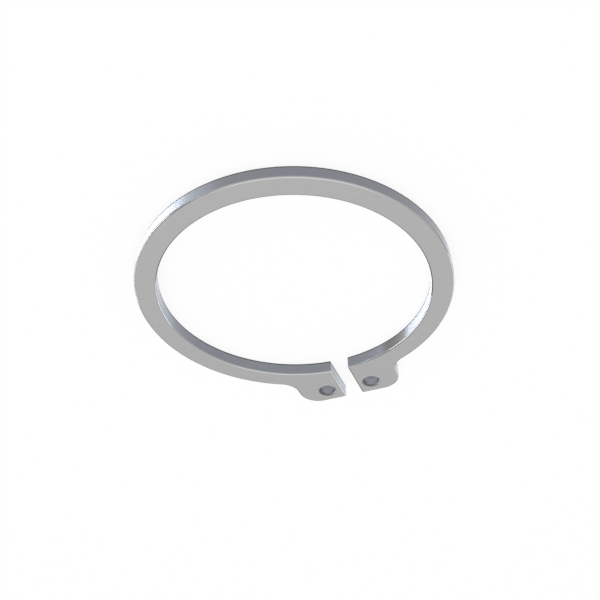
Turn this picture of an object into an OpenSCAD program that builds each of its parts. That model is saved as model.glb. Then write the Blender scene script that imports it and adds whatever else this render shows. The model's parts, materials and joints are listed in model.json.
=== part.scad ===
// External retaining ring (circlip) for a 30 mm shaft: one flat open band of spring
// steel with two plier lugs at its gap. It lies flat, its gap faces -Y, and the origin
// is on the ring's axis, halfway through its thickness.

/* [Band] */
// Inner diameter of the ring at rest, a little under its groove in the shaft (mm)
inner_d = 27.9; // [25:0.1:34]
// Width of the band, the same all the way round (mm)
band_w = 2.2; // [1.8:0.05:2.8]
// Thickness of the strip that the ring is punched from (mm)
thickness = 1.5; // [1:0.05:2]
// Radius of the tumbled edges round both faces (mm)
edge_r = 0.15; // [0.08:0.01:0.25]

/* [Gap and lugs] */
// Width of the gap, between the two flat end faces (mm)
gap_w = 2.06; // [1.2:0.02:3]
// Height of a lug, from the band's inner circle to the lug's straight outer edge (mm)
lug_h = 5.45; // [5.2:0.05:6.4]
// Width of a lug, from its end face at the gap to its flank (mm)
lug_w = 4.95; // [4.6:0.05:5.8]
// Radius of the rounded outer corner of a lug (mm)
corner_r = 2.25; // [1.2:0.05:2.5]
// Radius of the hollow blend between a lug's flank and the band (mm)
blend_r = 2.3; // [1.2:0.05:3]

/* [Plier holes] */
// Diameter of the hole for the tip of a pair of pliers (mm)
hole_d = 1.85; // [1.4:0.05:2.2]
// Distance from a lug's end face to its hole's axis (mm)
hole_in = 1.66; // [1.4:0.02:2.2]
// Distance from a lug's straight outer edge to its hole's axis (mm)
hole_up = 1.88; // [1.5:0.02:2.2]

/* [Hidden] */
$fn = 96;

// What is cut away reaches this far past the surface that it trims.
over = 0.4;
// An arc that joins a line or another arc passes it by this much, so that the two
// cross cleanly where they would otherwise only touch.
lap = 0.002;

inner_r = inner_d / 2;
outer_r = inner_r + band_w;
half_gap = gap_w / 2;
end_x = half_gap + lug_w;
reach = inner_r + lug_h;

// Centre of the right lug's rounded outer corner
corner_x = end_x - corner_r + lap;
corner_y = -reach + corner_r - lap;
// Centre of the hollow blend, which touches the flank and the band's outer circle
blend_x = end_x + blend_r - lap;
blend_y = -sqrt(pow(outer_r + blend_r - lap, 2) - pow(blend_x, 2));
// Where the blend meets the band, as an angle below +X seen from the ring's axis
blend_at = atan2(-blend_y, blend_x);
// Axis of the right lug's plier hole
hole_x = half_gap + hole_in;
hole_y = -reach + hole_up;

module both_lugs() {
    children();
    mirror([1, 0, 0]) children();
}

// Everything that the punch leaves of the right lug before its corners are cut: a
// square-cornered tab, and the web under the blend.
module lug_blank() {
    translate([half_gap, -reach]) square([lug_w, reach - inner_r + over]);
    polygon([
        [half_gap, blend_y],
        [blend_x, blend_y],
        [(outer_r - over) * cos(blend_at), -(outer_r - over) * sin(blend_at)],
        [half_gap, -inner_r]
    ]);
}

// What is cut from the right lug: its outer corner, the hollow of the blend, the hole.
module lug_waste() {
    difference() {
        translate([corner_x, corner_y - corner_r - over])
            square([corner_r + over, corner_r + over]);
        translate([corner_x, corner_y]) circle(r = corner_r);
    }
    translate([blend_x, blend_y]) circle(r = blend_r);
    translate([hole_x, hole_y]) circle(d = hole_d);
}

// Outline of the whole ring as it is punched from the strip.
module outline() {
    difference() {
        union() {
            circle(r = outer_r);
            both_lugs() lug_blank();
        }
        circle(r = inner_r);
        translate([-half_gap, -reach - over]) square([gap_w, reach]);
        both_lugs() lug_waste();
    }
}

// Section of what is lost at a rounded edge. The wall is the line x = 0 with the
// metal on its left, and the face is the line y = 0 with the metal below it.
module edge_section() {
    difference() {
        translate([-edge_r, -edge_r]) square(edge_r + over);
        translate([-edge_r, -edge_r]) circle(r = edge_r);
    }
}

// Rounded edge of a straight wall that starts at (x, y) and runs for a length in the
// direction turn, in degrees from +X, with the metal on its left.
module straight_edge(x, y, turn, length) {
    translate([x, y, 0]) rotate([0, 0, turn])
        rotate([90, 0, 90]) linear_extrude(length) mirror([1, 0]) edge_section();
}

// Rounded edge of a wall that bulges: the metal is inside the arc.
module bulging_edge(x, y, r, from, angle = 360) {
    translate([x, y, 0]) rotate([0, 0, from])
        rotate_extrude(angle = angle) translate([r, 0]) edge_section();
}

// Rounded edge of a hollow wall: the metal is outside the arc.
module hollow_edge(x, y, r, from = 0, angle = 360) {
    translate([x, y, 0]) rotate([0, 0, from])
        rotate_extrude(angle = angle) translate([r, 0]) mirror([1, 0]) edge_section();
}

// The edges of the right lug. A neighbour that curves away from the metal runs on a
// little past each join, so no ridge is left between the two.
module lug_edges() {
    past = 4; // degrees
    straight_edge(half_gap, -inner_r + over, -90, lug_h + 2 * over);
    straight_edge(half_gap - over, -reach, 0, corner_x - half_gap + 2 * over);
    bulging_edge(corner_x, corner_y, corner_r, -90, 90);
    straight_edge(end_x, corner_y - over, 90, blend_y - corner_y + over);
    hollow_edge(blend_x, blend_y, blend_r, 180 - blend_at - past, blend_at + 2 * past);
    hollow_edge(hole_x, hole_y, hole_d / 2);
}

// Repeats what it is given on both faces of the ring.
module both_faces() {
    translate([0, 0, thickness / 2]) children();
    mirror([0, 0, 1]) translate([0, 0, thickness / 2]) children();
}

// The punched blank with its edges rounded: the lugs' first, then the two long edges
// of the band, which run on from the lugs' blends.
module ring() {
    color("silver") difference() {
        difference() {
            translate([0, 0, -thickness / 2]) linear_extrude(thickness) outline();
            both_faces() both_lugs() lug_edges();
        }
        both_faces() bulging_edge(0, 0, outer_r, -blend_at, 180 + 2 * blend_at);
        both_faces() hollow_edge(0, 0, inner_r);
    }
}

ring();
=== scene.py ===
"""Looks of an external retaining ring, dressed over its CAD solid.

The ring is one flat open band of spring steel with two plier lugs. A Geometry Nodes
tree grows its skin from the ring's outline, which is worked out here from a few sizes.
The ring lies on a pale floor in soft studio light.
"""
import json
import logging
import math
from dataclasses import dataclass
from enum import Enum
from typing import Any

import bmesh
import bpy
from mathutils import Matrix, Vector


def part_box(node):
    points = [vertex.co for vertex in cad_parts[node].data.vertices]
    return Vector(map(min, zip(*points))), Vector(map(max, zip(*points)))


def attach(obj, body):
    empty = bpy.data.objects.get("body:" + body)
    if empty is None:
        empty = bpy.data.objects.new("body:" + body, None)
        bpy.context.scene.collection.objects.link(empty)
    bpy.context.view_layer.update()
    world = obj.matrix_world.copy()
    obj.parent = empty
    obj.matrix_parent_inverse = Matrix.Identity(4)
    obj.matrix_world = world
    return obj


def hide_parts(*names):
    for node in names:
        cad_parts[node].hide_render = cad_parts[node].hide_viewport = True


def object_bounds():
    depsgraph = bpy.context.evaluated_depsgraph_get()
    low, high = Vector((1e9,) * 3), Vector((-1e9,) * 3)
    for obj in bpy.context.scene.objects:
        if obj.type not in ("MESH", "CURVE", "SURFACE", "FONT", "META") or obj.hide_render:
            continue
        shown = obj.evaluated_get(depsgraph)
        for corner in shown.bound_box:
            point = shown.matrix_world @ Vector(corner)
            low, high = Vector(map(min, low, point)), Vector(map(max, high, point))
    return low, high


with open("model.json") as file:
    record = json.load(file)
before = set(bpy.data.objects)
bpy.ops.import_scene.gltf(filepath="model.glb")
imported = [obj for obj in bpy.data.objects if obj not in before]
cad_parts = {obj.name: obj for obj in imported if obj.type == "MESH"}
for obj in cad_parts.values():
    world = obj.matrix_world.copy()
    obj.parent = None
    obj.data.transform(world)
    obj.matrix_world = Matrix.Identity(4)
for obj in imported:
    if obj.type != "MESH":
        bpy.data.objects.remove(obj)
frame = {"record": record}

LOG = logging.getLogger("ring")
CAD_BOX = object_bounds()
MM = 0.001
# Points nearer to each other than this are one.
MERGE = 0.001 * MM
# Radius that parts the inner wall from everything else.
SEAT_LIMIT = 14.0 * MM

Colour = tuple[float, float, float]
Triple = tuple[float, float, float]
Pair = tuple[float, float]
Socket = bpy.types.NodeSocket


class Graph:
    """A node tree with short calls for adding nodes, sockets and links."""

    def __init__(self, tree: bpy.types.NodeTree) -> None:
        """Keeps the tree that the calls work on."""
        self.tree = tree

    def add(
        self, kind: str, inputs: dict[str | int, Any] | None = None, **settings: Any
    ) -> bpy.types.Node:
        """Adds a node.

        Args:
            kind: Blender's type name of the node.
            inputs: Values or output sockets for the node's inputs, by name or number.
            **settings: Properties of the node itself, set before its inputs.

        Returns:
            The new node.
        """
        node = self.tree.nodes.new(kind)
        for name, value in settings.items():
            setattr(node, name, value)
        for key, value in (inputs or {}).items():
            self.feed(value, node.inputs[key])
        return node

    def feed(self, value: Any, socket: Socket) -> None:
        """Fills an input.

        Args:
            value: An output socket to link to the input, or a plain value for it.
            socket: The input.
        """
        if isinstance(value, Socket):
            self.tree.links.new(value, socket)
        else:
            socket.default_value = value

    def interface(self, way: str, kinds: dict[str, str]) -> None:
        """Adds the tree's own sockets one way, INPUT or OUTPUT, with the kind of each by name."""
        for name, kind in kinds.items():
            self.tree.interface.new_socket(name=name, in_out=way, socket_type="NodeSocket" + kind)

    def math(self, operation: str, *values: Any, clamp: bool = False) -> Socket:
        """Adds a Math node, whose result can be clamped to between 0 and 1."""
        inputs = dict(enumerate(values))
        return self.add("ShaderNodeMath", inputs, operation=operation, use_clamp=clamp).outputs[0]

    def vector(self, operation: str, *vectors: Any) -> Socket:
        """Adds a Vector Math node whose result is a vector."""
        inputs = dict(enumerate(vectors))
        return self.add("ShaderNodeVectorMath", inputs, operation=operation).outputs["Vector"]

    def measure(self, operation: str, *vectors: Any) -> Socket:
        """Adds a Vector Math node whose result is a number."""
        inputs = dict(enumerate(vectors))
        return self.add("ShaderNodeVectorMath", inputs, operation=operation).outputs["Value"]

    def scale(self, vector: Any, factor: Any) -> Socket:
        """Adds a vector or a colour that is multiplied by one factor."""
        inputs = {0: vector, "Scale": factor}
        return self.add("ShaderNodeVectorMath", inputs, operation="SCALE").outputs["Vector"]

    def upright(self, height: Any) -> Socket:
        """Adds a vector that points up by a height."""
        return self.add("ShaderNodeCombineXYZ", {"Z": height}).outputs[0]

    def part(self, vector: Socket, axis: str) -> Socket:
        """Adds the part of a vector along one axis."""
        return self.add("ShaderNodeSeparateXYZ", {0: vector}).outputs[axis]

    def place(self) -> Socket:
        """Adds the Object coordinates."""
        return self.add("ShaderNodeTexCoord").outputs["Object"]

    def ramp(self, value: Socket, start: Pair, end: Pair, kind: str = "SMOOTHSTEP") -> Socket:
        """Adds a change from one number to another, level on both sides of it.

        Args:
            value: Socket of the number that drives the change.
            start: That number where the change starts, and the result there.
            end: That number where the change ends, and the result there.
            kind: Blender's name of the change's shape.

        Returns:
            Socket of the result.
        """
        inputs = {
            "Value": value, "From Min": start[0], "From Max": end[0],
            "To Min": start[1], "To Max": end[1],
        }
        return self.add("ShaderNodeMapRange", inputs, interpolation_type=kind).outputs[0]

    def blend(self, share: Any, first: Any, second: Any) -> Socket:
        """Adds a blend of two colours, by the second one's share."""
        inputs = {"Factor": share, 6: first, 7: second}
        return self.add("ShaderNodeMix", inputs, data_type="RGBA").outputs[2]

    def named(self, name: str, kind: str) -> Socket:
        """Adds a read of a mesh attribute, by its name and kind."""
        node = self.add("GeometryNodeInputNamedAttribute", {"Name": name}, data_type=kind)
        return node.outputs["Attribute"]

    def store(
        self, geometry: Any, name: str, value: Any, kind: tuple[str, str], where: Any = True
    ) -> Socket:
        """Adds a write of a mesh attribute.

        Args:
            geometry: The mesh.
            name: Name of the attribute.
            value: What is written.
            kind: Blender's names of the attribute's type and domain.
            where: Which elements are written.

        Returns:
            Socket of the mesh that has the attribute.
        """
        inputs = {"Geometry": geometry, "Selection": where, "Name": name, "Value": value}
        settings = {"data_type": kind[0], "domain": kind[1]}
        return self.add("GeometryNodeStoreNamedAttribute", inputs, **settings).outputs[0]

    def logic(self, operation: str, first: Any, second: Any) -> Socket:
        """Adds a test that joins two others."""
        inputs = {0: first, 1: second}
        return self.add("FunctionNodeBooleanMath", inputs, operation=operation).outputs[0]

    def join(self, *meshes: Socket) -> Socket:
        """Adds the join of several meshes.

        Args:
            *meshes: Sockets of the meshes.

        Returns:
            Socket of the joined mesh.
        """
        node = self.add("GeometryNodeJoinGeometry")
        for mesh in meshes:
            self.feed(mesh, node.inputs[0])
        return node.outputs[0]


def direction(azimuth: float, elevation: float) -> Vector:
    """Unit vector at an azimuth from +X and an elevation, both in degrees."""
    az, el = math.radians(azimuth), math.radians(elevation)
    return Vector((math.cos(el) * math.cos(az), math.cos(el) * math.sin(az), math.sin(el)))


def new_material(name: str) -> tuple[bpy.types.Material, Graph]:
    """Makes a material without any nodes.

    Args:
        name: Name of the material.

    Returns:
        The material, and its empty node tree.
    """
    made = bpy.data.materials.new(name)
    made.use_nodes = True
    made.node_tree.nodes.clear()
    return made, Graph(made.node_tree)


def new_object(name: str, data: bpy.types.ID) -> bpy.types.Object:
    """Makes an object and puts it in the scene.

    Args:
        name: Name of the object.
        data: Its mesh, lamp or camera data.

    Returns:
        The object.
    """
    made = bpy.data.objects.new(name, data)
    bpy.context.collection.objects.link(made)
    return made


@dataclass(frozen=True)
class Station:
    """A point of an outline.

    Attributes:
        at: Place in the ring's plan.
        inset: Way from the wall to where the rounded edge meets the flat face.
    """

    at: Vector
    inset: Vector


@dataclass(frozen=True)
class RingSizes:
    """Sizes of the ring in metres. The first seven are read from the CAD frame.

    Attributes:
        inner_r: Radius of the band's inner circle.
        outer_r: Radius of its outer circle.
        thickness: Thickness of the strip.
        reach: Distance from the ring's axis to the lugs' straight outer edge.
        hole_r: Radius of a plier hole.
        hole_x: Place of the right lug's hole along X.
        hole_y: Its place along Y.
        edge_r: Radius of the rounded edges.
        half_gap: Half the width of the gap.
        lug_w: Width of a lug, from its end face to its flank.
        corner_r: Radius of a lug's outer corner.
        blend_r: Radius of the hollow blend between a lug and the band.
        nose_r: Radius of the barely broken corners at a lug's end face.
        step: Longest step along the outline.
    """

    inner_r: float
    outer_r: float
    thickness: float
    reach: float
    hole_r: float
    hole_x: float
    hole_y: float
    edge_r: float = 0.15 * MM
    half_gap: float = 1.03 * MM
    lug_w: float = 4.95 * MM
    corner_r: float = 2.25 * MM
    blend_r: float = 2.3 * MM
    nose_r: float = 0.06 * MM
    step: float = 0.4 * MM

    @classmethod
    def from_frame(cls, node: str) -> "RingSizes":
        """Reads the sizes that the CAD frame gives.

        Args:
            node: Name of the ring's CAD node.

        Returns:
            The ring's sizes.
        """
        low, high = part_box(node)
        mounts = {m["name"]: m for m in frame["record"]["mounts"]}
        hole = mounts["plier_hole_right"]
        return cls(
            inner_r=mounts["shaft_seat"]["dims"]["r_mm"] * MM,
            outer_r=high[0],
            thickness=high[2] - low[2],
            reach=-low[1],
            hole_r=hole["dims"]["r_mm"] * MM,
            hole_x=hole["pos_m"][0],
            hole_y=hole["pos_m"][1],
        )


@dataclass(frozen=True)
class PunchedOutline:
    """The closed loops that the punch cuts: the ring's outline and its two plier holes.

    Attributes:
        sizes: Sizes of the ring.
    """

    # Largest turn between two stations of an arc, and the steps round a broken corner.
    TURN = math.radians(2)
    NOSE_STEPS = 4

    sizes: RingSizes

    def arc(
        self, centre: Vector, radius: float, start: float, end: float, bulges: bool
    ) -> list[Station]:
        """Goes along a round wall.

        Args:
            centre: Centre of the arc.
            radius: Radius of the arc.
            start: First angle, in radians from +X.
            end: Last angle.
            bulges: True where the metal is inside the arc.

        Returns:
            The stations from start to end, both included.
        """
        count = max(2, math.ceil(abs(end - start) / min(self.TURN, self.sizes.step / radius)))
        side = -1 if bulges else 1
        stations = []
        for i in range(count + 1):
            angle = start + (end - start) * i / count
            out = Vector((math.cos(angle), math.sin(angle), 0))
            stations.append(Station(centre + out * radius, out * side * self.sizes.edge_r))
        return stations

    def line(self, start: Vector, end: Vector) -> list[Station]:
        """Goes along a straight wall that has the metal on its right.

        Args:
            start: Where the wall starts.
            end: Where it ends.

        Returns:
            The stations from start to end, both included.
        """
        way = (end - start).normalized()
        inset = Vector((way.y, -way.x, 0)) * self.sizes.edge_r
        count = max(1, math.ceil((end - start).length / self.sizes.step))
        return [Station(start.lerp(end, i / count), inset) for i in range(count + 1)]

    def nose(
        self, fan: tuple[Vector, Vector], centre: Vector, turn: Pair, rim: Vector
    ) -> list[Station]:
        """Goes round a barely broken corner, whose rounded edges all end in one point.

        Args:
            fan: Where the corner's fan of edges starts, and where it ends.
            centre: Centre of the small round.
            turn: First and last angle of the small round.
            rim: The point where the two rims of the flat face meet.

        Returns:
            The stations, each set in to the same point.
        """
        start, end = turn
        points = [fan[0]]
        for i in range(self.NOSE_STEPS + 1):
            angle = start + (end - start) * i / self.NOSE_STEPS
            out = Vector((math.cos(angle), math.sin(angle), 0))
            points.append(centre + out * self.sizes.nose_r)
        points.append(fan[1])
        return [Station(point, rim - point) for point in points]

    def inner_corner(self, depth: float) -> Vector:
        """Finds the point inside the right lug that is one depth from both of its inner walls.

        Args:
            depth: Distance from both walls.

        Returns:
            The point.
        """
        s = self.sizes
        x = s.half_gap + depth
        return Vector((x, -math.sqrt((s.inner_r + depth) ** 2 - x ** 2), 0))

    def right_half(self) -> list[Station]:
        """Goes from the outer circle's top round the right lug to the inner circle's top.

        Returns:
            The stations, clockwise along the outside and back along the inside.
        """
        s = self.sizes
        end_x = s.half_gap + s.lug_w
        blend_x = end_x + s.blend_r
        origin = Vector((0, 0, 0))
        corner = Vector((end_x - s.corner_r, -s.reach + s.corner_r, 0))
        blend = Vector((blend_x, -math.sqrt((s.outer_r + s.blend_r) ** 2 - blend_x ** 2), 0))
        blend_at = math.atan2(blend.y, blend.x)
        low_from = Vector((s.half_gap + s.edge_r, -s.reach, 0))
        low_to = Vector((s.half_gap, -s.reach + s.edge_r, 0))
        low_rim = Vector((low_from.x, low_to.y, 0))
        low_nose = Vector((s.half_gap + s.nose_r, -s.reach + s.nose_r, 0))
        top_rim, top_nose = self.inner_corner(s.edge_r), self.inner_corner(s.nose_r)
        top_from = Vector((s.half_gap, top_rim.y, 0))
        top_to = top_rim.normalized() * s.inner_r
        nose_end = math.atan2(top_nose.y, top_nose.x) + math.pi
        pieces = [
            self.arc(origin, s.outer_r, math.pi / 2, blend_at, True),
            self.arc(blend, s.blend_r, blend_at + math.pi, math.pi, False),
            self.line(Vector((end_x, blend.y, 0)), Vector((end_x, corner.y, 0))),
            self.arc(corner, s.corner_r, 0, -math.pi / 2, True),
            self.line(Vector((corner.x, -s.reach, 0)), low_from),
            self.nose((low_from, low_to), low_nose, (-math.pi / 2, -math.pi), low_rim),
            self.line(low_to, top_from),
            self.nose((top_from, top_to), top_nose, (math.pi, nose_end), top_rim),
            self.arc(origin, s.inner_r, math.atan2(top_rim.y, top_rim.x), math.pi / 2, False),
        ]
        return [station for piece in pieces for station in piece]

    def loops(self) -> list[list[Station]]:
        """Collects all the closed loops.

        Returns:
            The ring's outline, and then its two holes, without doubled points.
        """
        s = self.sizes
        right = self.right_half()
        flip = Vector((-1, 1, 1))
        left = [Station(st.at * flip, st.inset * flip) for st in reversed(right)]
        holes = [
            self.arc(Vector((side * s.hole_x, s.hole_y, 0)), s.hole_r, 0, 2 * math.pi, False)
            for side in (1, -1)
        ]
        return [self.without_doubles(loop) for loop in (right + left, *holes)]

    def without_doubles(self, loop: list[Station]) -> list[Station]:
        """Drops each station that lies on the one before it, across the loop's seam too."""
        return [st for i, st in enumerate(loop) if (st.at - loop[i - 1].at).length > MERGE]

    def mesh(self) -> bpy.types.Mesh:
        """Makes the loops into a mesh.

        Returns:
            A mesh of edges, with each point's inset, and with the bores marked.
        """
        points, edges, insets, bores = [], [], [], []
        for number, loop in enumerate(self.loops()):
            first = len(points)
            for i, station in enumerate(loop):
                points.append(station.at)
                insets.extend(station.inset)
                bores.append(number > 0)
                edges.append((first + i, first + (i + 1) % len(loop)))
        mesh = bpy.data.meshes.new("outline")
        mesh.from_pydata(points, edges, [])
        mesh.attributes.new("inset", "FLOAT_VECTOR", "POINT").data.foreach_set("vector", insets)
        mesh.attributes.new("bore", "BOOLEAN", "POINT").data.foreach_set("value", bores)
        return mesh


class Zone(Enum):
    """The ring's kinds of surface, each with a finish of its own."""

    FACE = 0
    EDGE = 1
    WALL = 2
    FOOT = 3
    BORE = 4
    BORE_EDGE = 5


class SkinTree:
    """Geometry Nodes that grow a punched part's whole skin from its outline.

    The outline's edges are pushed up the wall and then round the edge in small steps,
    each point by its own inset. The last rim is filled to make the flat face, and the
    lower half is the upper one mirrored.
    """

    # Height of the part of the wall that the foot's painted shade takes in, and of its last
    # narrow strip beside the rounded edge, which keeps the wall's shading straight.
    FOOT = 0.06 * MM
    GUARD = 0.01 * MM

    def __init__(self, name: str) -> None:
        """Builds the tree with its named inputs.

        Args:
            name: Name of the new tree.
        """
        self.step_tree = self.rim_step(name + "_step")
        self.tree = bpy.data.node_groups.new(name, "GeometryNodeTree")
        self.graph = g = Graph(self.tree)
        g.interface("INPUT", {"Outline": "Geometry", "Thickness": "Float"})
        g.interface("INPUT", {"Edge radius": "Float", "Edge steps": "Int"})
        g.interface("INPUT", {self.finish_input(zone): "Material" for zone in Zone})
        g.interface("OUTPUT", {"Skin": "Geometry"})
        self.fill()

    @staticmethod
    def finish_input(zone: Zone) -> str:
        """Name of the input that takes a zone's material."""
        return zone.name.replace("_", " ").capitalize() + " finish"

    def rim_step(self, name: str) -> bpy.types.NodeTree:
        """Makes the group that pushes the rim on by one step and marks the new rim.

        Args:
            name: Name of the new group.

        Returns:
            The group.
        """
        tree = bpy.data.node_groups.new(name, "GeometryNodeTree")
        g = Graph(tree)
        g.interface("INPUT", {"Skin": "Geometry", "Step": "Vector", "Turn": "Float", "Zone": "Int"})
        g.interface("OUTPUT", {"Skin": "Geometry"})
        given = g.add("NodeGroupInput").outputs
        grown = g.add(
            "GeometryNodeExtrudeMesh",
            {"Mesh": given["Skin"], "Selection": g.named("rim", "BOOLEAN"), "Offset Scale": 0.0},
            mode="EDGES",
        ).outputs
        top = grown["Top"]
        moved = g.add(
            "GeometryNodeSetPosition",
            {"Geometry": grown["Mesh"], "Selection": top, "Offset": given["Step"]},
        ).outputs[0]
        turned = g.store(moved, "turn", given["Turn"], ("FLOAT", "POINT"), top)
        zoned = g.store(turned, "zone", given["Zone"], ("INT", "FACE"), grown["Side"])
        g.add("NodeGroupOutput", {"Skin": g.store(zoned, "rim", top, ("BOOLEAN", "EDGE"))})
        return tree

    def push(self, skin: Socket, step: Any, turn: Any, zone: Zone) -> Socket:
        """Grows the skin by a step, whose rim has made a share of the quarter turn."""
        inputs = {"Skin": skin, "Step": step, "Turn": turn, "Zone": zone.value}
        return self.graph.add("GeometryNodeGroup", inputs, node_tree=self.step_tree).outputs[0]

    def wall(self, given: Any, half: Socket) -> Socket:
        """Adds the wall from the outline up to the rounded edge.

        Args:
            given: The tree's inputs.
            half: Half the thickness.

        Returns:
            Socket of the wall.
        """
        g = self.graph
        start = g.store(given["Outline"], "rim", True, ("BOOLEAN", "EDGE"))
        height = g.math("SUBTRACT", g.math("SUBTRACT", half, given["Edge radius"]), self.FOOT)
        skin = self.push(start, g.upright(height), 0.0, Zone.WALL)
        skin = self.push(skin, g.upright(self.FOOT - self.GUARD), 0.0, Zone.FOOT)
        return self.push(skin, g.upright(self.GUARD), 0.0, Zone.FOOT)

    def rounded_edge(self, given: Any, skin: Socket) -> Socket:
        """Adds the rounded edge, in equal turns.

        Args:
            given: The tree's inputs.
            skin: The skin up to the edge.

        Returns:
            Socket of the skin with its edge.
        """
        g, steps = self.graph, given["Edge steps"]
        turn_in = g.add("GeometryNodeRepeatInput")
        turn_out = g.add("GeometryNodeRepeatOutput")
        turn_in.pair_with_output(turn_out)
        g.feed(steps, turn_in.inputs["Iterations"])
        g.feed(skin, turn_in.inputs["Geometry"])
        quarter = g.math("DIVIDE", math.pi / 2, steps)
        before = g.math("MULTIPLY", turn_in.outputs["Iteration"], quarter)
        after = g.math("ADD", before, quarter)
        inward = g.math("SUBTRACT", g.math("COSINE", before), g.math("COSINE", after))
        upward = g.math("SUBTRACT", g.math("SINE", after), g.math("SINE", before))
        rise = g.upright(g.math("MULTIPLY", given["Edge radius"], upward))
        step = g.vector("ADD", g.scale(g.named("inset", "FLOAT_VECTOR"), inward), rise)
        turn = g.math("DIVIDE", after, math.pi / 2)
        grown = self.push(turn_in.outputs["Geometry"], step, turn, Zone.EDGE)
        g.feed(grown, turn_out.inputs["Geometry"])
        return turn_out.outputs["Geometry"]

    def flat_face(self, side: Socket, half: Socket) -> Socket:
        """Adds the flat face that fills the last rim.

        Args:
            side: The skin with its rounded edge.
            half: Half the thickness.

        Returns:
            Socket of the face alone.
        """
        g = self.graph
        inputs = {"Mesh": side, "Selection": g.named("rim", "BOOLEAN")}
        rim = g.add("GeometryNodeMeshToCurve", inputs).outputs[0]
        filled = g.add("GeometryNodeFillCurve", {"Curve": rim}).outputs[0]
        flat = g.add("GeometryNodeSetShadeSmooth", {"Geometry": filled, "Shade Smooth": False})
        level = g.store(flat.outputs[0], "turn", 1.0, ("FLOAT", "POINT"))
        inputs = {"Geometry": level, "Translation": g.upright(half)}
        return g.add("GeometryNodeTransform", inputs).outputs[0]

    def choices(self) -> dict[Zone, Socket]:
        """Adds the tests that pick each zone's faces.

        Returns:
            Each zone's test. A later zone is laid over the ones before it.
        """
        g = self.graph
        bore, grown = g.named("bore", "BOOLEAN"), g.named("zone", "INT")
        low = g.math("LESS_THAN", g.part(g.add("GeometryNodeInputPosition").outputs[0], "Z"), 0.0)
        face, edge, strip, foot = (
            g.math("COMPARE", grown, zone.value, 0.5)
            for zone in (Zone.FACE, Zone.EDGE, Zone.WALL, Zone.FOOT)
        )
        wall = g.logic("OR", strip, foot)
        return {
            Zone.FACE: face,
            Zone.EDGE: edge,
            Zone.WALL: wall,
            Zone.FOOT: g.logic("AND", g.logic("OR", edge, foot), low),
            Zone.BORE: g.logic("AND", wall, bore),
            Zone.BORE_EDGE: g.logic("AND", edge, bore),
        }

    def fill(self) -> None:
        """Adds the main tree's nodes, from the outline to the finished skin."""
        g = self.graph
        given = g.add("NodeGroupInput").outputs
        half = g.math("MULTIPLY", given["Thickness"], 0.5)
        side = self.rounded_edge(given, self.wall(given, half))
        smooth = g.add("GeometryNodeSetShadeSmooth", {"Geometry": side, "Shade Smooth": True})
        upper = g.join(smooth.outputs[0], self.flat_face(side, half))
        lower = g.add("GeometryNodeTransform", {"Geometry": upper, "Scale": (1.0, 1.0, -1.0)})
        both = g.join(upper, lower.outputs[0])
        closed = g.add("GeometryNodeMergeByDistance", {"Geometry": both, "Distance": MERGE})
        skin = g.add("GeometryNodeRealizeInstances", {"Geometry": closed.outputs[0]}).outputs[0]
        for zone, chosen in self.choices().items():
            finish = given[self.finish_input(zone)]
            inputs = {"Geometry": skin, "Selection": chosen, "Material": finish}
            skin = g.add("GeometryNodeSetMaterial", inputs).outputs[0]
        for name in ("rim", "zone", "bore", "inset"):
            skin = g.add("GeometryNodeRemoveAttribute", {"Geometry": skin, "Name": name}).outputs[0]
        g.add("NodeGroupOutput", {"Skin": skin})

    def grow(self, outline: bpy.types.Mesh, name: str, inputs: dict[str, Any]) -> bpy.types.Object:
        """Runs the tree on an outline.

        Args:
            outline: Mesh of closed loops of edges.
            name: Name of the new piece.
            inputs: Values for the tree's inputs, by name.

        Returns:
            A plain mesh object with no modifier on it.
        """
        holder = new_object(name + "_outline", outline)
        modifier = holder.modifiers.new("skin", "NODES")
        modifier.node_group = self.tree
        for item in self.tree.interface.items_tree:
            if item.in_out == "INPUT" and item.name in inputs:
                modifier[item.identifier] = inputs[item.name]
        graph = bpy.context.evaluated_depsgraph_get()
        mesh = bpy.data.meshes.new_from_object(holder.evaluated_get(graph), depsgraph=graph)
        mesh.name = name
        bpy.data.objects.remove(holder)
        face_outward(mesh)
        return new_object(name, mesh)


def face_outward(mesh: bpy.types.Mesh) -> None:
    """Turns a closed mesh's faces outward.

    Args:
        mesh: The mesh, which is changed in place.
    """
    work = bmesh.new()
    work.from_mesh(mesh)
    bmesh.ops.recalc_face_normals(work, faces=work.faces)
    work.to_mesh(mesh)
    work.free()


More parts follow.
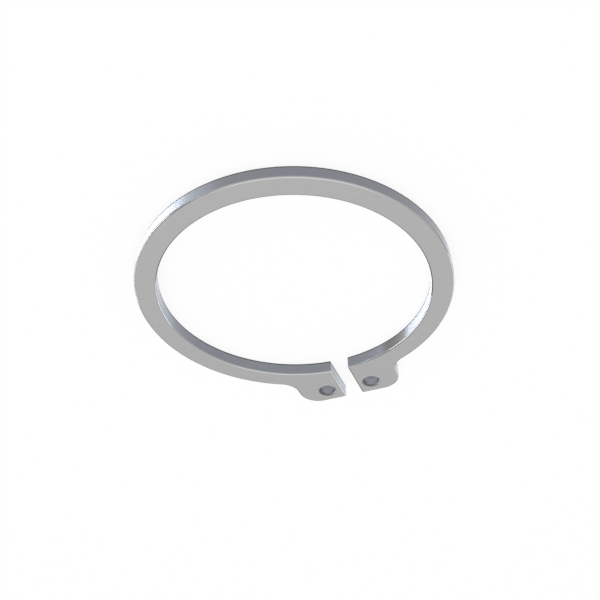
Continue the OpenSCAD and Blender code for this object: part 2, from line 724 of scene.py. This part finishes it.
class SteelEffects:
    """Shader node groups that all the ring's finishes share."""

    # How often the grain's broad clouds repeat, as a share of its fine ones, and how fast
    # a tumbling mark fades away from its middle.
    BROAD = 0.13
    MARK_FADE = 4.0

    def __init__(self) -> None:
        """Builds the groups once."""
        self.grain = self.grain_group("steel_grain")
        self.marks = self.marks_group("tumbling_marks")

    def noise(self, g: Graph, place: Socket, rate: float, detail: float, rough: float) -> Socket:
        """Adds a cloudy number round one half."""
        inputs = {"Vector": place, "Scale": rate, "Detail": detail, "Roughness": rough}
        return g.add("ShaderNodeTexNoise", inputs).outputs[0]

    def grain_group(self, name: str) -> bpy.types.NodeTree:
        """Makes the group for the steel's grain, which varies its shade, shine and height.

        Args:
            name: Name of the new group.

        Returns:
            The group.
        """
        tree = bpy.data.node_groups.new(name, "ShaderNodeTree")
        g = Graph(tree)
        g.interface("INPUT", {"Position": "Vector", "Steel": "Color", "Contrast": "Float"})
        g.interface("INPUT", {"Roughness": "Float", "Spread": "Float"})
        g.interface("OUTPUT", {"Colour": "Color", "Roughness": "Float", "Height": "Float"})
        given = g.add("NodeGroupInput").outputs
        fine = self.noise(g, given["Position"], rate=1.0, detail=4.0, rough=0.6)
        broad = self.noise(g, given["Position"], rate=self.BROAD, detail=2.0, rough=0.5)
        swing = g.math("SUBTRACT", g.math("ADD", fine, broad), 1.0)
        shade = g.math("ADD", g.math("MULTIPLY", swing, given["Contrast"]), 1.0)
        shift = g.math("MULTIPLY", swing, given["Spread"])
        g.add(
            "NodeGroupOutput",
            {
                "Colour": g.scale(given["Steel"], shade),
                "Roughness": g.math("ADD", shift, given["Roughness"], clamp=True),
                "Height": fine,
            },
        )
        return tree

    def marks_group(self, name: str) -> bpy.types.NodeTree:
        """Makes the group for the small bright dents that rings get in the tumbler.

        Args:
            name: Name of the new group.

        Returns:
            The group.
        """
        tree = bpy.data.node_groups.new(name, "ShaderNodeTree")
        g = Graph(tree)
        g.interface("INPUT", {"Position": "Vector", "Steel": "Color", "Count": "Float"})
        g.interface("INPUT", {"Brightening": "Float", "Height": "Float"})
        g.interface("OUTPUT", {"Colour": "Color", "Height": "Float"})
        given = g.add("NodeGroupInput").outputs
        cells = g.add("ShaderNodeTexVoronoi", {"Vector": given["Position"], "Scale": 1.0}).outputs
        pick = g.add("ShaderNodeSeparateColor", {"Color": cells["Color"]}).outputs[0]
        far = g.math("MULTIPLY", cells["Distance"], self.MARK_FADE)
        near = g.math("SUBTRACT", 1.0, far, clamp=True)
        mark = g.math("MULTIPLY", near, g.math("LESS_THAN", pick, given["Count"]))
        shade = g.math("ADD", g.math("MULTIPLY", mark, given["Brightening"]), 1.0)
        g.add(
            "NodeGroupOutput",
            {
                "Colour": g.scale(given["Steel"], shade),
                "Height": g.math("SUBTRACT", given["Height"], mark),
            },
        )
        return tree


def on_seat(g: Graph) -> Socket:
    """Adds a number that is 1 on the inner wall, which seats in a groove, and 0 elsewhere."""
    flat = g.vector("MULTIPLY", g.place(), (1.0, 1.0, 0.0))
    return g.math("LESS_THAN", g.measure("LENGTH", flat), SEAT_LIMIT)


@dataclass(frozen=True)
class EvenShade:
    """Metal of one colour all over. The other shades change it from place to place."""

    def colour(self, g: Graph, steel: Colour) -> Any:
        """Gives the metal's colour before its grain, plain or as a socket."""
        return (*steel, 1)


@dataclass(frozen=True)
class BorePaintedShade(EvenShade):
    """Metal with painted shade that darkens it toward the lower end of a bore.

    Attributes:
        low: Height of that end, and the share of the colour that is left there.
        high: The same where the metal starts to darken.
    """

    low: Pair = (-0.75 * MM, 0.4)
    high: Pair = (0.35 * MM, 1.0)

    def colour(self, g: Graph, steel: Colour) -> Any:
        """Gives the metal's colour before its grain, with painted shade by its height in the bore.
        """
        left = g.ramp(g.part(g.place(), "Z"), self.low, self.high, "LINEAR")
        return g.scale(steel, left)


@dataclass(frozen=True)
class SeatShade(EvenShade):
    """Metal painted lighter on the inner wall as painted light, with one dark patch of painted
    shade.

    Attributes:
        painted_light_gain: How much lighter the inner wall is painted, as a share.
        painted_shade_patch: Colour of the patch of painted shade.
        azimuth: Where the patch is, in degrees from +X.
        start: How far along that azimuth a point lies where the patch starts.
        full: The same where the patch is full.
    """

    painted_light_gain: float = 0.16
    painted_shade_patch: Colour = (0.147, 0.139, 0.137)
    azimuth: float = 301.5
    start: float = 13.72 * MM
    full: float = 13.925 * MM

    def colour(self, g: Graph, steel: Colour) -> Any:
        """Gives the metal's colour, before its grain.

        Args:
            g: The material's nodes.
            steel: The metal's own colour.

        Returns:
            Socket of the colour.
        """
        # Painted light lifts the inner wall; painted shade darkens one patch of it, holding back a
        # highlight.
        seat = on_seat(g)
        plain = g.scale(steel, g.math("ADD", g.math("MULTIPLY", seat, self.painted_light_gain), 1.0))
        along = g.measure("DOT_PRODUCT", g.place(), direction(self.azimuth, 0.0))
        near = g.ramp(along, (self.start, 0.0), (self.full, 1.0))
        return g.blend(g.math("MULTIPLY", near, seat), plain, (*self.painted_shade_patch, 1))


@dataclass(frozen=True)
class EdgeShade(EvenShade):
    """Metal of a rounded edge, which changes toward the flat face and carries painted shade on one
    side.

    Attributes:
        rim: Colour where the edge comes to the flat face.
        turns: Shares of the quarter turn between which the colour changes to that.
        painted_shade_facing: Azimuth and elevation, in degrees, of the way that the edge faces
            where its painted shade is darkest.
        start: Cosine of the angle from that way where the painted shade starts, and what is left.
        full: The same where the painted shade is full.
    """

    rim: Colour = (0.4, 0.4, 0.402)
    turns: Pair = (0.35, 0.6)
    painted_shade_facing: Pair = (134.0, 41.0)
    start: Pair = (0.82, 1.0)
    full: Pair = (0.94, 0.28)

    def colour(self, g: Graph, steel: Colour) -> Any:
        """Gives the metal's colour, before its grain.

        Args:
            g: The material's nodes.
            steel: The metal's own colour.

        Returns:
            Socket of the colour.
        """
        turn = g.add("ShaderNodeAttribute", attribute_name="turn").outputs["Fac"]
        share = g.ramp(turn, (self.turns[0], 0.0), (self.turns[1], 1.0))
        across = g.blend(share, (*steel, 1), (*self.rim, 1))
        # Painted shade: the edge is darkened where it faces one way, to hold back a lamp's
        # highlight there.
        normal = g.add("ShaderNodeTexCoord").outputs["Normal"]
        toward = g.measure("DOT_PRODUCT", normal, direction(*self.painted_shade_facing))
        return g.scale(across, g.ramp(toward, self.start, self.full))


@dataclass(frozen=True)
class DragMarks:
    """Marks of the punch on the walls, which draw the highlights out up and down.

    They lean on the left half of the outer wall and on the right half of the inner wall,
    where the punch went a little askew, and stand upright elsewhere.

    Attributes:
        strength: How far the highlights are drawn out.
        rotation: Turn of the highlights away from the way round the ring, in full turns.
        seat_lean: How steeply the way across the marks rises on the inner wall.
        rim_lean: The same on the outer wall.
    """

    strength: float = 1.0
    rotation: float = 0.25
    seat_lean: float = -0.36
    rim_lean: float = -0.14

    def across(self, g: Graph) -> Socket:
        """Adds the way across the marks.

        Args:
            g: The material's nodes.

        Returns:
            Socket of the tangent.
        """
        around = g.add("ShaderNodeTangent", direction_type="RADIAL", axis="Z").outputs[0]
        seat = on_seat(g)
        more = g.math("MULTIPLY", seat, self.seat_lean - self.rim_lean)
        lean = g.math("ADD", more, self.rim_lean)
        right = g.math("GREATER_THAN", g.part(g.place(), "X"), 0.0)
        askew = g.math("COMPARE", seat, right, 0.5)
        return g.vector("ADD", around, g.upright(g.math("MULTIPLY", lean, askew)))


@dataclass(frozen=True)
class SteelFinish:
    """One finish of the ring's spring steel.

    Attributes:
        name: Name of the material.
        steel: Colour of the metal.
        roughness: How dull the metal is.
        grain: How often the grain repeats, per millimetre along X, Y and Z.
        contrast: How far the grain moves the colour.
        spread: How far the grain moves the roughness.
        marks: Share of the places that carry a tumbling mark.
        grazing: Tint of the metal where it is seen at a low angle.
        oil: Weight of the thin film of oil.
        shade: How the colour changes from place to place.
        drag: The punch's marks, where there are any.
    """

    # Places for a tumbling mark in a metre, and how much brighter a mark is than the metal.
    MARK_RATE = 2.5 / MM
    MARK_GAIN = 0.15
    # Depth of grain and marks in metres, and how strongly it shows.
    BUMP_DEPTH = 0.001 * MM
    BUMP_STRENGTH = 0.3
    OIL_ROUGHNESS = 0.12

    name: str
    steel: Colour
    roughness: float
    grain: Triple
    contrast: float = 0.06
    spread: float = 0.08
    marks: float = 0.02
    grazing: Colour = (1.0, 1.0, 1.0)
    oil: float = 0.0
    shade: EvenShade = EvenShade()
    drag: DragMarks | None = None

    def material(self, effects: SteelEffects) -> bpy.types.Material:
        """Builds the finish's material.

        Args:
            effects: The node groups that the finishes share.

        Returns:
            The material.
        """
        made, g = new_material(self.name)
        grain = g.add(
            "ShaderNodeGroup",
            {
                "Position": g.vector("MULTIPLY", g.place(), [rate / MM for rate in self.grain]),
                "Steel": self.shade.colour(g, self.steel), "Contrast": self.contrast,
                "Roughness": self.roughness, "Spread": self.spread,
            },
            node_tree=effects.grain,
        ).outputs
        marks = g.add(
            "ShaderNodeGroup",
            {
                "Position": g.scale(g.place(), self.MARK_RATE), "Steel": grain["Colour"],
                "Count": self.marks, "Brightening": self.MARK_GAIN, "Height": grain["Height"],
            },
            node_tree=effects.marks,
        ).outputs
        bump = g.add(
            "ShaderNodeBump",
            {
                "Height": marks["Height"], "Strength": self.BUMP_STRENGTH,
                "Distance": self.BUMP_DEPTH,
            },
        )
        steel = g.add(
            "ShaderNodeBsdfPrincipled",
            {
                "Base Color": marks["Colour"], "Roughness": grain["Roughness"],
                "Normal": bump.outputs[0], "Metallic": 1.0, "Specular Tint": (*self.grazing, 1),
                "Coat Weight": self.oil, "Coat Roughness": self.OIL_ROUGHNESS,
            },
        )
        if self.drag:
            g.feed(self.drag.strength, steel.inputs["Anisotropic"])
            g.feed(self.drag.rotation, steel.inputs["Anisotropic Rotation"])
            g.feed(self.drag.across(g), steel.inputs["Tangent"])
        g.add("ShaderNodeOutputMaterial", {"Surface": steel.outputs[0]})
        return made


FINISHES = {
    Zone.FACE: SteelFinish(
        "rolled_face", steel=(0.428, 0.428, 0.424), roughness=0.25, grain=(6.0, 40.0, 6.0),
        contrast=0.045, spread=0.11,
    ),
    Zone.EDGE: SteelFinish(
        "tumbled_edge", steel=(0.38, 0.385, 0.395), roughness=0.15, grain=(4.0, 4.0, 4.0),
        spread=0.05, marks=0.05, grazing=(0.0, 0.0, 0.0), shade=EdgeShade(),
    ),
    # Painted shade and reflection: the same steel as the face, darkened and tinted blue.
    Zone.WALL: SteelFinish(
        "punched_wall_painted_shade", steel=(0.238, 0.252, 0.286), roughness=0.5, grain=(12.0, 12.0, 0.6),
        contrast=0.14, oil=1.0, shade=SeatShade(), drag=DragMarks(),
    ),
    # Painted shade: a dark foot along the wall's bottom and lower rounded edge, beside the floor.
    Zone.FOOT: SteelFinish(
        "painted_shade_foot", steel=(0.085, 0.088, 0.096), roughness=0.45, grain=(9.0, 9.0, 9.0),
        contrast=0.2, grazing=(0.2, 0.2, 0.2),
    ),
    # Painted reflection and shade: the bore's bluish tint, and its darkening toward the lower end.
    Zone.BORE: SteelFinish(
        "pierced_bore", steel=(0.42, 0.44, 0.48), roughness=0.4, grain=(12.0, 12.0, 0.7),
        contrast=0.1, shade=BorePaintedShade(),
    ),
    Zone.BORE_EDGE: SteelFinish(
        "bore_edge", steel=(0.21, 0.215, 0.225), roughness=0.8, grain=(6.0, 6.0, 6.0)
    ),
}


@dataclass(frozen=True)
class RetainingRing:
    """The ring itself.

    Attributes:
        sizes: Its sizes.
        finishes: The finish of each of its zones.
        node: Name of the CAD node that it takes the place of.
        edge_steps: Number of faces across a rounded edge.
    """

    sizes: RingSizes
    finishes: dict[Zone, SteelFinish]
    node: str = "ring"
    edge_steps: int = 8

    def build(self) -> bpy.types.Object:
        """Builds the ring's piece and hands it to the frame.

        Returns:
            The piece.
        """
        outline = PunchedOutline(self.sizes).mesh()
        inputs = {
            "Thickness": self.sizes.thickness,
            "Edge radius": self.sizes.edge_r,
            "Edge steps": self.edge_steps,
        }
        effects = SteelEffects()
        for zone, finish in self.finishes.items():
            inputs[SkinTree.finish_input(zone)] = finish.material(effects)
        piece = SkinTree("punched_skin").grow(outline, "retaining_ring", inputs)
        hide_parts(self.node)
        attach(piece, "root")
        return piece


@dataclass(frozen=True)
class Viewpoint:
    """The camera, placed round the point that it aims at.

    Attributes:
        aim: The point.
        distance: Distance from the point.
        azimuth: Azimuth of the camera from +X, in degrees.
        elevation: Its elevation.
        roll: Its turn about its own line of sight.
        lens: Focal length in millimetres.
        sensor: Width of the sensor in millimetres.
        clip: Nearest and farthest distance that it shows.
    """

    aim: Triple = (0.34 * MM, -0.76 * MM, 0.75 * MM)
    distance: float = 85.3 * MM
    azimuth: float = 68.69
    elevation: float = 39.75
    roll: float = 180.0
    lens: float = 50.0
    sensor: float = 36.0
    clip: Pair = (0.001, 20.0)

    def build(self) -> bpy.types.Object:
        """Makes the scene's camera.

        Returns:
            The camera.
        """
        back = direction(self.azimuth, self.elevation)
        data = bpy.data.cameras.new("view")
        data.lens, data.sensor_width = self.lens, self.sensor
        data.clip_start, data.clip_end = self.clip
        camera = new_object("view", data)
        camera.location = Vector(self.aim) + back * self.distance
        roll = Matrix.Rotation(math.radians(self.roll), 3, "Z")
        camera.rotation_euler = (back.to_track_quat("Z", "Y").to_matrix() @ roll).to_euler()
        bpy.context.scene.camera = camera
        return camera


@dataclass(frozen=True)
class Softbox:
    """An area lamp that faces the ring. The camera doesn't see it.

    Attributes:
        name: Name of the lamp.
        azimuth: Its azimuth from +X, in degrees.
        elevation: Its elevation.
        distance: Its distance from the ring.
        width: Its width.
        height: Its height.
        radiance: How bright it shows in a mirror, where 1 is white.
        colour: Colour of its light.
        lights_floor: False where it leaves the floor alone.
    """

    name: str
    azimuth: float
    elevation: float
    distance: float
    width: float
    height: float
    radiance: float
    colour: Colour = (1.0, 1.0, 1.0)
    lights_floor: bool = True

    @classmethod
    def low(cls, name: str, **others: Any) -> "Softbox":
        """Gives a low lamp that lights the ring's walls, with its other fields as given."""
        return cls(name, elevation=8.0, distance=0.5, height=0.14, lights_floor=False, **others)

    def build(self) -> bpy.types.Object:
        """Makes the lamp.

        Returns:
            The lamp.
        """
        out = direction(self.azimuth, self.elevation)
        data = bpy.data.lights.new(self.name, "AREA")
        data.shape = "RECTANGLE"
        data.size, data.size_y = self.width, self.height
        data.color = self.colour
        data.energy = self.radiance * math.pi * self.width * self.height
        lamp = new_object(self.name, data)
        lamp.location = out * self.distance
        lamp.rotation_euler = out.to_track_quat("Z", "Y").to_euler()
        lamp.visible_camera = False
        lamp.visible_diffuse = self.lights_floor
        return lamp


@dataclass(frozen=True)
class DarkScreen:
    """A curved dark screen on the floor, which the polished edges show as their dark lines.

    Attributes:
        name: Name of the screen.
        azimuth: Azimuth of its middle from +X, in degrees.
        sweep: Angle from one end to the other.
        radius: Its distance from the ring's axis.
        height: Its height above the floor.
        grey: Colour of its cloth.
        steps: Number of its faces.
    """

    name: str
    azimuth: float
    sweep: float
    radius: float
    height: float
    grey: float = 0.02
    steps: int = 24

    def build(self) -> bpy.types.Object:
        """Makes the screen. Only a reflection shows it.

        Returns:
            The screen.
        """
        floor = CAD_BOX[0][2]
        points = []
        for i in range(self.steps + 1):
            at = direction(self.azimuth + self.sweep * (i / self.steps - 0.5), 0) * self.radius
            points += [(at.x, at.y, floor), (at.x, at.y, floor + self.height)]
        faces = [(2 * i, 2 * i + 1, 2 * i + 3, 2 * i + 2) for i in range(self.steps)]
        mesh = bpy.data.meshes.new(self.name)
        mesh.from_pydata(points, [], faces)
        screen = new_object(self.name, mesh)
        cloth, g = new_material(self.name)
        diffuse = g.add("ShaderNodeBsdfDiffuse", {"Color": (self.grey, self.grey, self.grey, 1)})
        g.add("ShaderNodeOutputMaterial", {"Surface": diffuse.outputs[0]})
        mesh.materials.append(cloth)
        screen.visible_camera = False
        screen.visible_diffuse = False
        screen.visible_shadow = False
        return screen


COOL = (0.85, 0.93, 1.0)
# Azimuths from +X, seen from above. The camera stands at 69 degrees, so the picture's
# left is at 159 degrees and its far side, the picture's bottom, at 249.
LIGHTS = (
    Softbox(
        "overhead", azimuth=69.0, elevation=86.0, distance=0.6, width=0.6, height=0.6, radiance=0.8
    ),
    Softbox.low("low_left", azimuth=180.0, width=0.577, radiance=28.0, colour=(0.96, 0.98, 1.0)),
    Softbox.low("front_left", azimuth=140.0, width=0.26, radiance=4.2, colour=COOL),
    Softbox.low("low_right", azimuth=297.0, width=0.34, radiance=4.4, colour=COOL),
)
SCREENS = (DarkScreen("far_screen", azimuth=246.0, sweep=48.0, radius=0.4, height=0.165),)


@dataclass(frozen=True)
class Studio:
    """Everything round the ring.

    Attributes:
        lights: The lamps.
        screens: The dark screens.
        dome: How brightly the world lights the ring. It shows white all the same.
        floor_colour: Colour of the floor where it is lit.
        floor_glow: Share of plain white in what the floor shows near the ring.
        floor_fade: Distances from the ring between which that share rises to one.
        floor_size: Half the floor's width.
        floor_gap: How far the floor lies below the ring.
    """

    lights: tuple[Softbox, ...] = LIGHTS
    screens: tuple[DarkScreen, ...] = SCREENS
    dome: float = 0.84
    floor_colour: Colour = (0.97, 0.97, 0.97)
    floor_glow: float = 0.85
    floor_fade: Pair = (0.1, 0.6)
    floor_size: float = 3.0
    floor_gap: float = 0.02 * MM

    def seen(self, g: Graph) -> Socket:
        """Adds a mask that is 1 for what the camera, a reflection or a clear body shows.

        Args:
            g: The nodes of a material or of the world.

        Returns:
            Socket of the mask.
        """
        path = g.add("ShaderNodeLightPath").outputs
        first = g.math("MAXIMUM", path["Is Camera Ray"], path["Is Glossy Ray"])
        return g.math("MAXIMUM", first, path["Is Transmission Ray"])

    def floor_material(self) -> bpy.types.Material:
        """Makes the floor's material, which shows near white and keeps the ring's shadow.

        Returns:
            The material. From below it can be seen through.
        """
        made, g = new_material("pale_floor")
        cover = g.add("ShaderNodeBsdfDiffuse", {"Color": (*self.floor_colour, 1)})
        glow = g.add("ShaderNodeEmission", {"Color": (1, 1, 1, 1), "Strength": 1.0})
        away = g.measure("LENGTH", g.place())
        near, far = self.floor_fade
        white = g.ramp(away, (near, self.floor_glow), (far, 1.0))
        share = g.math("MULTIPLY", self.seen(g), white)
        top = g.add("ShaderNodeMixShader", {0: share, 1: cover.outputs[0], 2: glow.outputs[0]})
        below = g.add("ShaderNodeNewGeometry").outputs["Backfacing"]
        clear = g.add("ShaderNodeBsdfTransparent")
        mix = g.add("ShaderNodeMixShader", {0: below, 1: top.outputs[0], 2: clear.outputs[0]})
        g.add("ShaderNodeOutputMaterial", {"Surface": mix.outputs[0]})
        return made

    def floor(self) -> bpy.types.Object:
        """Makes the pale floor that the ring lies on.

        Returns:
            The floor.
        """
        half, z = self.floor_size, CAD_BOX[0][2] - self.floor_gap
        mesh = bpy.data.meshes.new("floor")
        corners = [(-half, -half, z), (half, -half, z), (half, half, z), (-half, half, z)]
        mesh.from_pydata(corners, [], [(0, 1, 2, 3)])
        mesh.materials.append(self.floor_material())
        floor = new_object("floor", mesh)
        return floor

    def world(self) -> None:
        """Gives the dome round the scene its light. It shows white."""
        world = bpy.data.worlds.new("dome")
        bpy.context.scene.world = world
        world.use_nodes = True
        world.node_tree.nodes.clear()
        g = Graph(world.node_tree)
        level = g.add("ShaderNodeMix", {0: self.seen(g), 2: self.dome, 3: 1.0})
        glow = g.add("ShaderNodeBackground", {"Color": (1, 1, 1, 1), "Strength": level.outputs[0]})
        g.add("ShaderNodeOutputWorld", {"Surface": glow.outputs[0]})

    def build(self) -> None:
        """Makes everything round the ring."""
        self.floor()
        self.world()
        for item in self.lights + self.screens:
            item.build()
            LOG.info("studio: %s", item.name)


def main() -> None:
    """Builds the ring, its camera and its studio."""
    logging.basicConfig(level=logging.INFO, format="%(message)s")
    bpy.context.scene.view_settings.view_transform = "Standard"
    Viewpoint().build()
    ring = RetainingRing(RingSizes.from_frame("ring"), FINISHES)
    piece = ring.build()
    LOG.info("%s: %d faces", piece.name, len(piece.data.polygons))
    Studio().build()


if __name__ == "__main__":
    main()
